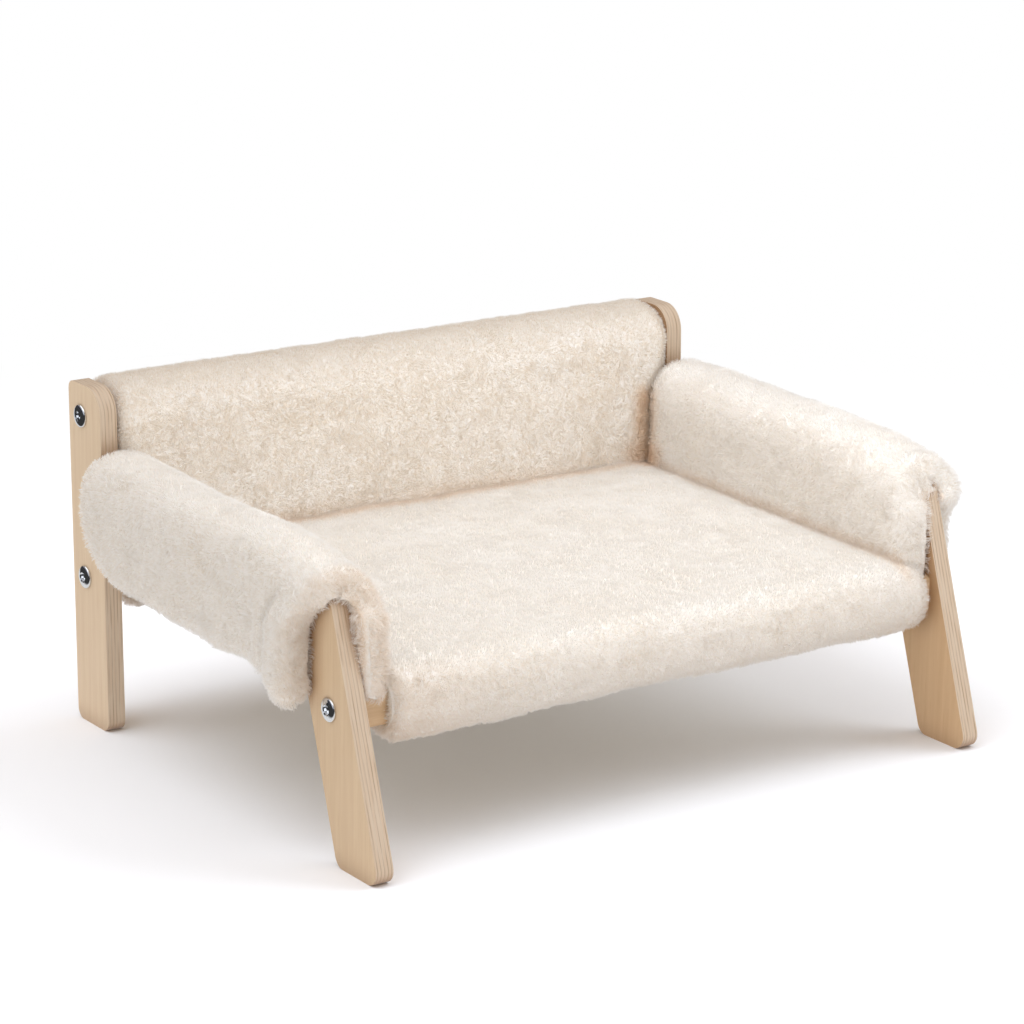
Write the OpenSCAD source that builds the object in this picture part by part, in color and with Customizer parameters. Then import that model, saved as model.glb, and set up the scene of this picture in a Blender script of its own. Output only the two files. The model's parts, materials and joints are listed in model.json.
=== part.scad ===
/* [Frame] */
// Width across the outer faces of the two side panels
frame_width = 566; // [500:1:640]
// Height of the rear posts
frame_height = 280; // [260:1:320]
// Depth from the front of the feet to the back of the back roll
total_depth = 468; // [440:1:520]
// Thickness of the plywood side panels
ply = 15; // [12:0.5:18]
// Width of a rear post
post_width = 51; // [44:1:60]
// Lean of the rear posts, backwards at the top
post_lean = 1.3; // [0:0.1:3]
// Width of a front leg, across the grain
leg_width = 54.4; // [46:0.2:60]
// Lean of the front legs, forwards at the foot
leg_lean = 18.3; // [12:0.1:22]
// Height of the top edge of the arm boards
arm_board_top = 205; // [195:1:215]
// Depth of the arm boards
arm_board_depth = 50; // [40:1:56]

/* [Rails] */
// Side of the square cross rails
rail = 30; // [26:1:34]
// Height of the front seat rail's axis
front_rail_z = 118; // [110:1:126]
// Height of the rear seat rail's axis
rear_rail_z = 122; // [114:1:130]
// Height of the top back rail's axis
top_rail_z = 254; // [250:1:262]

/* [Fasteners] */
// Diameter of the bolt heads
head_diameter = 18.5; // [16:0.5:20]
// Height that the bolt heads stand out
head_height = 3; // [2:0.5:4]
// Width across the flats of the hexagon sockets
socket_flats = 5; // [4:0.5:6]
// Diameter of the bolt shanks
shank_diameter = 6; // [5:0.5:7]
// Distance from a rail's end to its barrel nut
nut_setback = 34; // [30:1:40]

/* [Cover] */
// Radius of the plush rolls round the rails
roll_radius = 31.5; // [29:0.5:34]
// Thickness of the plush, pile included
plush = 9; // [7:0.5:11]
// Half the width of the plush seat
seat_half = 249; // [244:1:252]
// Crown of the seat above the line from roll to roll
seat_crown = 3; // [0:0.5:8]
// Half the width of the plush back
back_half = 265; // [258:1:266]
// Distance from the top rail's axis to the front of the back
back_front_reach = 41; // [36:1:46]
// Distance from the middle to the inner face of an arm
arm_inner_x = 240; // [236:1:246]
// Distance from the middle to the outer face of an arm
arm_outer_x = 308; // [302:1:312]
// Height of the arms along their middle
arm_height = 237; // [230:1:244]
// Height of the seams where the arms and the back meet the seat
seam_z = 150.5; // [150:0.5:156]

/* [Hidden] */

// Gap kept between neighbouring soft pieces
gap = 0.5;
// Thickness of the woven and non-woven cloths
cloth = 1.2;

birch = "#e6cfa6";
cream = "#f3e6d2";
wadding = "#fbfaf6";
canvas = "#e9e2d3";

// Side panel
panel_x = frame_width / 2;
panel_inner_x = panel_x - ply;
foot_radius = 11;
post_foot_radius = 9;
inner_corner = 15;
tip_radius = 6;
post_top_front_radius = 21;
post_top_rear_radius = 7;
arm_board_under = arm_board_top - arm_board_depth;

// A rounded foot starts this far behind the corner that its two edges make
foot_setback = foot_radius * (tan(leg_lean) + 1 / cos(leg_lean) - 1);
leg_foot_y = -total_depth / 2 - foot_setback;
// Y of the top rail's axis, from the back of its roll
top_rail_y = total_depth / 2 - roll_radius;
// The bolts are this far behind the front edge of the post
bolt_setback = 31.5;
post_foot_y = top_rail_y - bolt_setback - top_rail_z * tan(post_lean);

function leg_front(z) = leg_foot_y + z * tan(leg_lean);
function leg_rear(z) = leg_front(z) + leg_width / cos(leg_lean);
function post_front(z) = post_foot_y + z * tan(post_lean);
function post_rear(z) = post_front(z) + post_width / cos(post_lean);

front_rail_y = (leg_front(front_rail_z) + leg_rear(front_rail_z)) / 2;
rear_rail_y = post_front(rear_rail_z) + bolt_setback;

// Y and Z of the three rail axes
front_axis = [front_rail_y, front_rail_z];
rear_axis = [rear_rail_y, rear_rail_z];
top_axis = [top_rail_y, top_rail_z];
rail_axes = [front_axis, rear_axis, top_axis];

// Radius of the rails' long edges
rail_corner = 4;

// Fasteners
shank_r = shank_diameter / 2;
thread_gap = 0.05;
bolt_hole_r = shank_r + 0.4;
bolt_reach = nut_setback + 6;
head_r = head_diameter / 2;
socket_depth = 2.2;
nut_r = 5;
nut_length = 14;
dowel_r = 3;
dowel_offset = 9;
dowel_in_panel = 10;
dowel_in_rail = 20;

// Unit vector along v
function unit(v) = v / norm(v);

// Arc of radius r that rounds the corner at p between a and b
function corner(a, p, b, r, steps = 8) =
    let (
        to_a = unit(a - p),
        to_b = unit(b - p),
        half = acos(to_a * to_b) / 2,
        centre = p + unit(to_a + to_b) * r / sin(half),
        first = p + to_a * r / tan(half) - centre,
        last = p + to_b * r / tan(half) - centre,
        sweep = 180 - 2 * half
    )
    [for (k = [0:steps])
        let (t = k / steps)
        centre + (first * sin((1 - t) * sweep) + last * sin(t * sweep)) / sin(sweep)];

// Outline with every corner rounded to its own radius
function rounded(points, radii) =
    let (n = len(points))
    [for (i = [0:n - 1])
        each corner(points[(i + n - 1) % n], points[i], points[(i + 1) % n], radii[i])];

// Rectangle from low to high with rounded corners
function rounded_box(low, high, r) =
    rounded([low, [high.x, low.y], high, [low.x, high.y]], [r, r, r, r]);

// Extrudes a Y-Z outline along X, from x0 to x1
module along_x(x0, x1) {
    translate([x0, 0, 0]) rotate([90, 0, 90]) linear_extrude(x1 - x0) children();
}

// Extrudes an X-Z outline along Y, from y0 to y1
module along_y(y0, y1) {
    translate([0, y1, 0]) rotate([90, 0, 0]) linear_extrude(y1 - y0) children();
}

// Cylinder along X, from x0 to x1
module rod_x(r, x0, x1, axis) {
    translate([x0, axis[0], axis[1]]) rotate([0, 90, 0]) cylinder(r = r, h = x1 - x0, $fn = 48);
}

// Two copies of what is drawn for the +X side
module both_sides() {
    children();
    mirror([1, 0, 0]) children();
}

// Closed solid between two surfaces given as rows of points
module thick_sheet(outer, inner) {
    rows = len(outer);
    cols = len(outer[0]);
    points = [for (grid = [outer, inner]) for (row = grid) each row];
    function p(i, j) = i * cols + j;
    function q(i, j) = rows * cols + i * cols + j;
    faces = concat(
        [for (i = [0:rows - 2]) for (j = [0:cols - 2]) each [
            [p(i, j), p(i, j + 1), p(i + 1, j + 1)],
            [p(i, j), p(i + 1, j + 1), p(i + 1, j)],
            [q(i, j), q(i + 1, j + 1), q(i, j + 1)],
            [q(i, j), q(i + 1, j), q(i + 1, j + 1)]
        ]],
        [for (i = [0:rows - 2]) each [
            [p(i, 0), p(i + 1, 0), q(i + 1, 0)],
            [p(i, 0), q(i + 1, 0), q(i, 0)],
            [p(i + 1, cols - 1), p(i, cols - 1), q(i, cols - 1)],
            [p(i + 1, cols - 1), q(i, cols - 1), q(i + 1, cols - 1)]
        ]],
        [for (j = [0:cols - 2]) each [
            [p(0, j + 1), p(0, j), q(0, j)],
            [p(0, j + 1), q(0, j), q(0, j + 1)],
            [p(rows - 1, j), p(rows - 1, j + 1), q(rows - 1, j + 1)],
            [p(rows - 1, j), q(rows - 1, j + 1), q(rows - 1, j)]
        ]]
    );
    polyhedron(points, faces);
}

// Places across a cushion, closer together towards its two ends
half_stations = [0, 0.2, 0.4, 0.58, 0.73, 0.85, 0.93, 0.975, 0.992, 1];
function stations(half) = concat(
    [for (k = [len(half_stations) - 1:-1:1]) -half * half_stations[k]],
    [for (s = half_stations) half * s]
);

// 1 over most of a cushion, falling to 0 at its end, where s is 1
function plump(s) = pow(1 - pow(min(1, abs(s)), 18), 1 / 18);

// Point of the Y-Z plane at angle a from +Y, r away from an axis
function on_roll(axis, r, a) = [axis[0] + r * cos(a), axis[1] + r * sin(a)];

// Side panels: post, arm board and leaning leg cut as one piece
module side_panel() {
    outline = rounded(
        [
            [leg_front(0), 0],
            [leg_rear(0), 0],
            [leg_rear(arm_board_under), arm_board_under],
            [post_front(arm_board_under), arm_board_under],
            [post_front(0), 0],
            [post_rear(0), 0],
            [post_rear(frame_height), frame_height],
            [post_front(frame_height), frame_height],
            [post_front(arm_board_top), arm_board_top],
            [leg_front(arm_board_top), arm_board_top]
        ],
        [
            foot_radius, foot_radius, inner_corner, inner_corner, post_foot_radius,
            post_foot_radius, post_top_rear_radius, post_top_front_radius, inner_corner, tip_radius
        ]
    );
    color(birch) difference() {
        along_x(panel_inner_x, panel_x) polygon(outline);
        for (axis = rail_axes) {
            rod_x(bolt_hole_r, panel_inner_x - 1, panel_x + 1, axis);
            rod_x(dowel_r + thread_gap, panel_inner_x - 1, panel_inner_x + dowel_in_panel,
                axis + [0, dowel_offset]);
        }
    }
}

module left_side_panel() mirror([1, 0, 0]) side_panel();
module right_side_panel() side_panel();

// Cross rail with its bolt holes, barrel nut holes and dowel holes
module cross_rail(axis) {
    half = [rail / 2, rail / 2];
    color(birch) difference() {
        along_x(-panel_inner_x, panel_inner_x) polygon(rounded_box(axis - half, axis + half, rail_corner));
        both_sides() {
            rod_x(bolt_hole_r, panel_inner_x - bolt_reach - 2, panel_inner_x + 1, axis);
            rod_x(dowel_r + thread_gap, panel_inner_x - dowel_in_rail, panel_inner_x + 1,
                axis + [0, dowel_offset]);
            translate([panel_inner_x - nut_setback, axis[0], axis[1]])
                rotate([-90, 0, 0]) cylinder(r = nut_r + thread_gap, h = rail, center = true, $fn = 48);
        }
    }
}

module front_seat_rail() cross_rail(front_axis);
module rear_seat_rail() cross_rail(rear_axis);
module top_back_rail() cross_rail(top_axis);

// Connector bolt along X with a low rounded head and a hexagon socket
module connector_bolt(axis) {
    edge = 1.2;
    translate([panel_x, axis[0], axis[1]]) rotate([0, 90, 0]) difference() {
        union() {
            rotate_extrude($fn = 64) polygon(concat(
                [[0, 0], [head_r, 0]],
                [for (a = [0:15:90])
                    [head_r - edge + edge * cos(a), head_height - edge + edge * sin(a)]],
                [[0, head_height]]
            ));
            translate([0, 0, -ply - bolt_reach]) cylinder(r = shank_r, h = ply + bolt_reach, $fn = 48);
        }
        translate([0, 0, head_height - socket_depth])
            cylinder(d = socket_flats / cos(30), h = socket_depth + 1, $fn = 6);
    }
}

module connector_bolts() {
    color("silver") both_sides() for (axis = rail_axes) connector_bolt(axis);
}

// Barrel nut across a rail, with the hole that takes its bolt
module barrel_nut(axis) {
    difference() {
        translate([panel_inner_x - nut_setback, axis[0], axis[1]])
            rotate([-90, 0, 0]) cylinder(r = nut_r, h = nut_length, center = true, $fn = 48);
        rod_x(shank_r + thread_gap, panel_inner_x - nut_setback - 2 * nut_r, panel_inner_x, axis);
    }
}

module barrel_nuts() {
    color("gray") both_sides() for (axis = rail_axes) barrel_nut(axis);
}

// Wooden dowel above each bolt, which keeps the rail from turning
module locating_dowels() {
    slack = 0.5;
    color("burlywood") both_sides() for (axis = rail_axes)
        rod_x(dowel_r, panel_inner_x - dowel_in_rail + slack, panel_inner_x + dowel_in_panel - slack,
            axis + [0, dowel_offset]);
}

// Square hole of a rod pocket round a rail, with its cloth
pocket = rail / 2 + 0.3;
pocket_outer = pocket + cloth;
padding_half = seat_half - 6;
padding_r = roll_radius - plush - gap;

// Underside of the rod pockets, where the sling runs from rail to rail
function sling_z(y) = front_rail_z - pocket
    + (y - front_rail_y) / (rear_rail_y - front_rail_y) * (rear_rail_z - front_rail_z);

// Outline of the sling between the rails, grown by the given clearance
module sling_web(clear) {
    polygon([
        [front_rail_y, sling_z(front_rail_y) - cloth - clear],
        [rear_rail_y, sling_z(rear_rail_y) - cloth - clear],
        [rear_rail_y, sling_z(rear_rail_y) + clear],
        [front_rail_y, sling_z(front_rail_y) + clear]
    ]);
}

// Outline of a rod pocket of the given half side, its corners rounded as the rail's are
module pocket_outline(axis, half_side) {
    half = [half_side, half_side];
    polygon(rounded_box(axis - half, axis + half, rail_corner + half_side - rail / 2));
}

// Canvas sling that carries the seat, with a rod pocket at each end
module seat_sling() {
    color(canvas) along_x(-padding_half, padding_half) difference() {
        union() {
            pocket_outline(front_axis, pocket_outer);
            pocket_outline(rear_axis, pocket_outer);
            sling_web(0);
        }
        pocket_outline(front_axis, pocket);
        pocket_outline(rear_axis, pocket);
    }
}

// Wadding wrapped round a rail inside the plush roll
module rail_padding(axis, hole) {
    color(wadding) difference() {
        rod_x(padding_r, -padding_half, padding_half, axis);
        along_x(-seat_half, seat_half) pocket_outline(axis, hole);
        along_x(-seat_half, seat_half) sling_web(gap);
    }
}

module front_rail_padding() rail_padding(front_axis, pocket_outer + gap);
module rear_rail_padding() rail_padding(rear_axis, pocket_outer + gap);
module top_rail_padding() rail_padding(top_axis, pocket);

// Foam between the two rolls, on the sling and under the plush
module seat_pad() {
    front_y = front_rail_y + padding_r + gap;
    rear_y = rear_rail_y - padding_r - gap;
    top_drop = roll_radius - plush - 1;
    color(wadding) along_x(-padding_half, padding_half) polygon([
        [front_y, sling_z(front_y) + gap],
        [rear_y, sling_z(rear_y) + gap],
        [rear_y, rear_rail_z + top_drop - gap],
        [front_y, front_rail_z + top_drop - gap]
    ]);
}

// Non-woven lining that closes the cushion from below and turns up at its sides
module seat_lining() {
    front_y = front_rail_y + padding_r + gap;
    rear_y = rear_rail_y - padding_r - gap;
    top_z = front_rail_z + 6;
    floor_z = sling_z(front_rail_y) - cloth - gap;
    module tray(side, drop, lift) {
        along_x(-side, side) polygon([
            [front_y, floor_z - drop],
            [rear_y, sling_z(rear_y) - cloth - gap - drop],
            [rear_y, top_z + lift],
            [front_y, top_z + lift]
        ]);
    }
    color(canvas) difference() {
        tray(padding_half + gap + cloth, cloth, 0);
        tray(padding_half + gap, 0, 1);
    }
}

// Plush seat cover: round the front rail, over the pad and round the rear rail
module seat_cover() {
    rim_r = 23;
    side_r = 8;
    runs = 9;
    // Share of the way from the rim at the rolls to the deeper rim between them
    function side_share(t) = min(1, sin(180 * t) / sin(27));
    // Radius at place s of the width and t of the run, less the inset of the inner face
    function reach(s, t, inset) =
        let (end_r = rim_r - (rim_r - side_r) * side_share(t) - (inset > 0 ? 1.5 : 0))
        end_r + (roll_radius - inset - end_r) * plump(s);
    // Gentle crown and the two shallow hollows of a seat that has been lain on
    function crown(s, t) = plump(s) * (seat_crown * sin(180 * t)
        - 1.5 * sin(180 * t) * pow(cos(180 * s), 2));
    function row(x, inset) =
        let (s = x / seat_half)
        concat(
            [for (a = [290:-21:101])
                let (p = on_roll(front_axis, reach(s, 0, inset), a)) [x, p[0], p[1]]],
            [for (k = [0:runs])
                let (
                    t = k / runs,
                    base = front_axis + t * (rear_axis - front_axis)
                )
                [x, base[0], base[1] + reach(s, t, inset) + crown(s, t)]],
            [for (a = [79:-21:-110])
                let (p = on_roll(rear_axis, reach(s, 1, inset), a)) [x, p[0], p[1]]]
        );
    places = stations(seat_half);
    color(cream) thick_sheet([for (x = places) row(x, 0)], [for (x = places) row(x, plush)]);
}

// Foam and wadding of the back, in front of the top rail
module back_pad() {
    front_y = top_rail_y - back_front_reach + plush + gap;
    rear_y = top_rail_y - padding_r - gap;
    low_z = seam_z + 1.5;
    high_z = top_rail_z + 6;
    color(wadding) along_x(-back_half + 5, back_half - 5) polygon([
        [front_y + 4, low_z],
        [rear_y + 10, low_z],
        [rear_y + 10, top_rail_z - padding_r - 4],
        [rear_y, top_rail_z - padding_r + 4],
        [rear_y, high_z],
        [front_y + 1, high_z - 8],
        [front_y, high_z - 24]
    ]);
}

// Plush back cover: up the front, over the top rail and down behind it
module back_cover() {
    low_z = seam_z + 1;
    front_runs = 8;
    rear_runs = 5;
    draw_in = 7;
    // The front face stands further out than the roll, so the path is an ellipse there
    function over_front(inset, draw, a) = [
        top_rail_y + (back_front_reach - inset - draw) * cos(a),
        top_rail_z + (roll_radius - inset - draw) * sin(a)
    ];
    // Soft waves of the front face along the width and up the height
    function wave(s, t) = plump(s) * (1.6 * sin(360 * 1.3 * s + 40) * sin(180 * t)
        + 2.2 * sin(180 * t));
    function row(x, inset) =
        let (
            s = x / back_half,
            draw = (inset > 0 ? 0.4 : 1) * draw_in * (1 - plump(s)),
            face_y = top_rail_y - back_front_reach + inset + draw
        )
        concat(
            [for (k = [0:front_runs - 1])
                let (t = k / front_runs, tuck = 3 * pow(1 - t, 3))
                [x, face_y + tuck + wave(s, t), low_z + t * (top_rail_z - low_z)]],
            [for (a = [180:-15:105]) let (p = over_front(inset, draw, a)) [x, p[0], p[1]]],
            [for (a = [90:-18:0])
                let (p = on_roll(top_axis, roll_radius - inset - draw, a)) [x, p[0], p[1]]],
            [for (k = [1:rear_runs])
                let (t = k / rear_runs)
                [x, top_rail_y + (roll_radius - inset - draw) * (1 - 0.16 * t * t),
                    top_rail_z + t * (low_z + 4 - top_rail_z)]]
        );
    places = stations(back_half);
    color(cream) thick_sheet([for (x = places) row(x, 0)], [for (x = places) row(x, plush)]);
}

// Arms: a padded saddle over each arm board, with a flap outside the panel
arm_front_y = -200;
arm_rear_y = post_front(arm_board_under) - 8;
arm_mid_x = (arm_inner_x + arm_outer_x) / 2;
arm_half = (arm_outer_x - arm_inner_x) / 2;
cuff = 38;
flap_setback = 37;
flap_front_y = arm_front_y + flap_setback;
rim_depth = 20;
hem_front_z = 131;
hem_rise = 0.03;
cuff_drop = 10;
// The rear lower corner of a flap is a quarter of an ellipse
flap_corner_y = arm_rear_y - 65;
flap_corner_z = 199;
strip_thick = 1.5;
strip_from_y = -110;
strip_to_y = 110;
strip_low_z = arm_board_under + 8;
strip_high_z = strip_low_z + 20;
lining_inner_x = panel_inner_x - gap;
lining_outer_x = panel_x + 2 * strip_thick + 2 * gap;
lining_top = arm_board_top + gap;
// Where the wadding and lining end, inside the plush
fill_front_y = leg_front(arm_board_top) + 8;
fill_rear_y = arm_rear_y - 4;
flap_fill_z = hem_front_z + 9;

// Lower edge of the flap: drooping at the cuff, nearly level, then round the rear corner
function hem_line(y) = hem_front_z + hem_rise * (y - arm_front_y);
function hem_z(y) =
    let (
        behind = min(1, max(0, y - flap_corner_y) / (arm_rear_y - flap_corner_y)),
        into_cuff = min(1, max(0, (y - flap_front_y) / cuff))
    )
    behind > 0
    ? flap_corner_z - (flap_corner_z - hem_line(flap_corner_y)) * sqrt(1 - behind * behind)
    : hem_line(y) - cuff_drop * sin(180 * into_cuff);

// Inverted U in the X-Z plane, from its inner side to its outer side
module saddle_outline(x_in, x_out, top, low_in, low_out, r) {
    polygon(concat(
        [[x_in, low_in]],
        corner([x_in, low_in], [x_in, top], [x_out, top], r),
        corner([x_in, top], [x_out, top], [x_out, low_out], r),
        [[x_out, low_out]],
        [[arm_mid_x + 10, low_out]],
        [[arm_mid_x + 10, low_in]]
    ));
}

// What the rounded rear corner and the short front take off the pieces inside a flap
module flap_corner_cut() {
    inset = 4;
    low_z = hem_front_z - 20;
    front_cut_y = flap_front_y + rim_depth + 2;
    translate([panel_x, fill_front_y - 1, low_z])
        cube([arm_outer_x - panel_x, front_cut_y - fill_front_y + 1, arm_board_top + 8 - low_z]);
    arc_points = [for (a = [0:10:90]) [
        flap_corner_y - inset + (arm_rear_y - flap_corner_y) * sin(a),
        flap_corner_z + inset - (flap_corner_z - hem_line(flap_corner_y)) * cos(a)
    ]];
    along_x(panel_x, arm_outer_x) polygon(concat(
        [[flap_corner_y - inset, low_z]],
        arc_points,
        [[arm_rear_y + inset, flap_corner_z + inset], [arm_rear_y + inset, low_z]]
    ));
}

// Thin lining cloth between the wadding and the board
module arm_lining() {
    top_out = lining_top + cloth;
    color(canvas) difference() {
        along_y(fill_front_y, fill_rear_y) difference() {
            saddle_outline(lining_inner_x - cloth, lining_outer_x + cloth, top_out, seam_z + 4,
                flap_fill_z, 3);
            translate([lining_inner_x, 0]) square([lining_outer_x - lining_inner_x, lining_top]);
        }
        flap_corner_cut();
    }
}

// Wadding of an arm, between the lining and the plush
module arm_pad() {
    clear = plush + gap;
    inner_hole_x = lining_inner_x - cloth - gap;
    outer_hole_x = lining_outer_x + cloth + gap;
    hole_top = lining_top + cloth + gap;
    color(wadding) difference() {
        along_y(fill_front_y, fill_rear_y) difference() {
            saddle_outline(arm_inner_x + clear, arm_outer_x - clear, arm_height - clear - 7,
                seam_z + 3, flap_fill_z, 17);
            translate([inner_hole_x, 0]) square([outer_hole_x - inner_hole_x, hole_top]);
        }
        flap_corner_cut();
    }
}

// Plush cover of an arm: up the inner face, over the top and down the outer flap
module arm_cover() {
    side_runs = 4;
    flap_runs = 5;
    cuff_bulge = 3;
    crease = 3;
    rim_inner = panel_inner_x - 1.4;
    rim_outer = panel_x + 1.4;
    rim_top = arm_board_top + 2;
    // Distance of the front edge behind the furthest point, by place t round the saddle
    function front_y(t) =
        let (s = min(1, max(0, (t - 0.5) / 0.3)))
        arm_front_y - 2 * sin(180 * min(1, 2 * t)) + flap_setback * s * s * (3 - 2 * s);
    // Height of the ridge: nearly level, dropping over the last stretch at the front
    function ridge(y) = arm_height - 15 * pow(max(0, (-110 - y) / 100), 1.6);
    // The cuff swells at the front, behind it runs a crease
    function swell(from_front) = from_front < cuff
        ? cuff_bulge * sin(180 * from_front / cuff)
        : -crease * exp(-pow((from_front - cuff - 3) / 5, 2));
    // Rounds the front rim and the rear edge of the plush
    function ease(from_front, from_rear) =
        5 * pow(max(0, 1 - from_front / 7), 2) + 4 * pow(max(0, 1 - from_rear / 10), 2);
    // X and Z at place t round the saddle, for a saddle of these half width, height and hem
    function round_saddle(half, top, low_in, low_out, t) =
        let (
            side = 0.24,
            flap = 0.70,
            shoulder = top - half,
            a = 180 * (t - side) / (flap - side),
            flat = 2 / 2.3,
            c = cos(a),
            s = sin(a)
        )
        t < side ? [-half, low_in + (shoulder - low_in) * t / side]
        : t > flap ? [half, shoulder + (low_out - shoulder) * (t - flap) / (1 - flap)]
        : [-half * sign(c) * pow(abs(c), flat), shoulder + half * pow(s, flat)];
    places = concat(
        [for (k = [0:side_runs - 1]) 0.24 * k / side_runs],
        [for (k = [0:12]) 0.24 + 0.46 * k / 12],
        [for (k = [1:flap_runs]) 0.70 + 0.30 * k / flap_runs]
    );
    rows_from_front = [0, 2, 6, rim_depth, rim_depth + 2, 34, cuff - 2, cuff + 3, cuff + 9];
    behind_cuff = cuff + 9;
    shares_behind = [0.2, 0.4, 0.58, 0.72, 0.83, 0.91, 0.96, 0.99, 1];
    function along(k, t) =
        let (span = arm_rear_y - front_y(t) - behind_cuff)
        k < len(rows_from_front) ? rows_from_front[k]
        : behind_cuff + span * shares_behind[k - len(rows_from_front)];
    row_count = len(rows_from_front) + len(shares_behind);
    function point(k, t, inside) =
        let (
            from_front = along(k, t),
            y = front_y(t) + from_front,
            from_rear = arm_rear_y - y,
            outer_half = arm_half - ease(from_front, from_rear) + (t > 0.3 ? swell(from_front) : 0),
            top = ridge(y) - ease(from_front, from_rear),
            rim = inside && from_front <= rim_depth,
            rim_half = (rim_outer - rim_inner) / 2,
            rim_mid = (rim_outer + rim_inner) / 2,
            p = rim ? round_saddle(rim_half, rim_top, seam_z, hem_z(y) + 1.5, t)
                : inside ? round_saddle(arm_half - plush, ridge(y) - plush, seam_z, hem_z(y) + 1.5, t)
                : round_saddle(outer_half, top, seam_z, hem_z(y), t)
        )
        [(rim ? rim_mid : arm_mid_x) + p[0], y, p[1]];
    function rows(inside) = [for (k = [row_count - 1:-1:0]) [for (t = places) point(k, t, inside)]];
    color(cream) thick_sheet(rows(false), rows(true));
}

// A strip on the outer face of an arm board, its face at the given distance from the panel
module flap_strip(from_x) {
    translate([panel_x + from_x, strip_from_y, strip_low_z])
        cube([strip_thick, strip_to_y - strip_from_y, strip_high_z - strip_low_z]);
}

module left_arm_lining() mirror([1, 0, 0]) arm_lining();
module right_arm_lining() arm_lining();
module left_arm_pad() mirror([1, 0, 0]) arm_pad();
module right_arm_pad() arm_pad();
module left_arm_cover() mirror([1, 0, 0]) arm_cover();
module right_arm_cover() arm_cover();
module flap_hook_strips() color("white") both_sides() flap_strip(0);
module flap_loop_strips() color("ivory") both_sides() flap_strip(strip_thick + gap / 2);

left_side_panel();
right_side_panel();
front_seat_rail();
rear_seat_rail();
top_back_rail();
connector_bolts();
barrel_nuts();
locating_dowels();
seat_sling();
seat_pad();
seat_lining();
seat_cover();
front_rail_padding();
rear_rail_padding();
top_rail_padding();
back_pad();
back_cover();
left_arm_lining();
right_arm_lining();
left_arm_pad();
right_arm_pad();
left_arm_cover();
right_arm_cover();
flap_hook_strips();
flap_loop_strips();
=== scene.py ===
import json
import math

import bmesh
import bpy
import numpy as np
from mathutils import Matrix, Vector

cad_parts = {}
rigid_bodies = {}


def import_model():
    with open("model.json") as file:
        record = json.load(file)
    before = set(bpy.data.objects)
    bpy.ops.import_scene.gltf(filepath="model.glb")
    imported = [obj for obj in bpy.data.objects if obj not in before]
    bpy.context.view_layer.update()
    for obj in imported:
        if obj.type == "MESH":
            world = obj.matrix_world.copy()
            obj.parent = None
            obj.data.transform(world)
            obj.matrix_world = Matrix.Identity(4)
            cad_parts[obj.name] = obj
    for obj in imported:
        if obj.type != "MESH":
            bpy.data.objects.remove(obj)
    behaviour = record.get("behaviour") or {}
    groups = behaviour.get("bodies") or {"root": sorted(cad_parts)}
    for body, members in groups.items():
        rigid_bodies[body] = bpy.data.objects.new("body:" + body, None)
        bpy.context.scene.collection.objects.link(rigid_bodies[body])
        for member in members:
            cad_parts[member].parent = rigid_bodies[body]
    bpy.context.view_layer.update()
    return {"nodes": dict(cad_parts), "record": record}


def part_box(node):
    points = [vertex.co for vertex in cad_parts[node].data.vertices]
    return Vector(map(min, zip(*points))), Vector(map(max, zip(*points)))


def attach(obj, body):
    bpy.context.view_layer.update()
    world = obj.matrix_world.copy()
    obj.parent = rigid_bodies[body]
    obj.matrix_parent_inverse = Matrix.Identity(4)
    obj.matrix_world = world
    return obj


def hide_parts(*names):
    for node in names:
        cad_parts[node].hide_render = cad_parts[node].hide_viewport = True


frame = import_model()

MM = 0.001
# Distance between neighbouring points of a plush surface
PLUSH_STEP = 2.2 * MM
# The pile stands on a backing that lies this far inside the plush's outer surface
PILE_DEPTH = 3.5 * MM
PILE_LENGTH = 4.6 * MM
FIBRES_PER_MM2 = 1.0


# Places that the frame gives

def middle(node):
    """Y and Z of the middle of a CAD node."""
    low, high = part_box(node)
    return np.array([(low.y + high.y) / 2, (low.z + high.z) / 2])


panel_low, panel_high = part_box("right_side_panel")
PANEL_IN = panel_low.x
PANEL_OUT = panel_high.x
FRONT_AXIS = middle("front_seat_rail")
REAR_AXIS = middle("rear_seat_rail")
TOP_AXIS = middle("top_back_rail")
seat_low, seat_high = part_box("seat_cover")
back_low, back_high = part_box("back_cover")
arm_low, arm_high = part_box("right_arm_cover")
ROLL = FRONT_AXIS[0] - seat_low.y


# Smooth noise

NOISE_SEED = 7
LATTICE_SIDE = 32
# Moves the origin into the middle of a cell
LATTICE_SHIFT = 100.5
LATTICE = np.random.default_rng(NOISE_SEED).random((4, LATTICE_SIDE, LATTICE_SIDE, LATTICE_SIDE)) * 2 - 1


def noise(points, size, channel=0):
    """Smooth noise from -1 to 1 at points, with features of the given size."""
    scaled = np.asarray(points, float) / size + LATTICE_SHIFT
    cell = np.floor(scaled).astype(int)
    share = scaled - cell
    share = share * share * (3 - 2 * share)
    total = np.zeros(scaled.shape[:-1])
    for corner in np.ndindex(2, 2, 2):
        weight = np.ones_like(total)
        for axis in range(3):
            part = share[..., axis]
            weight = weight * (part if corner[axis] else 1 - part)
        at = (cell + corner) % LATTICE_SIDE
        total = total + weight * LATTICE[channel, at[..., 0], at[..., 1], at[..., 2]]
    return total


def vector_noise(points, size):
    """Three channels of smooth noise as vectors."""
    return np.stack([noise(points, size, channel) for channel in (1, 2, 3)], axis=-1)


def unit(vectors):
    """Vectors at length 1."""
    return vectors / np.maximum(np.linalg.norm(vectors, axis=-1, keepdims=True), 1e-12)


def smooth(low, high, value):
    """0 below low, 1 above high, smooth between."""
    t = np.clip((value - low) / (high - low), 0, 1)
    return t * t * (3 - 2 * t)


def bell(distance):
    """1 at distance 0, falling smoothly to 0 on both sides."""
    return np.exp(-distance ** 2)


# Outlines of cushions, as points of a plane

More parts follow.
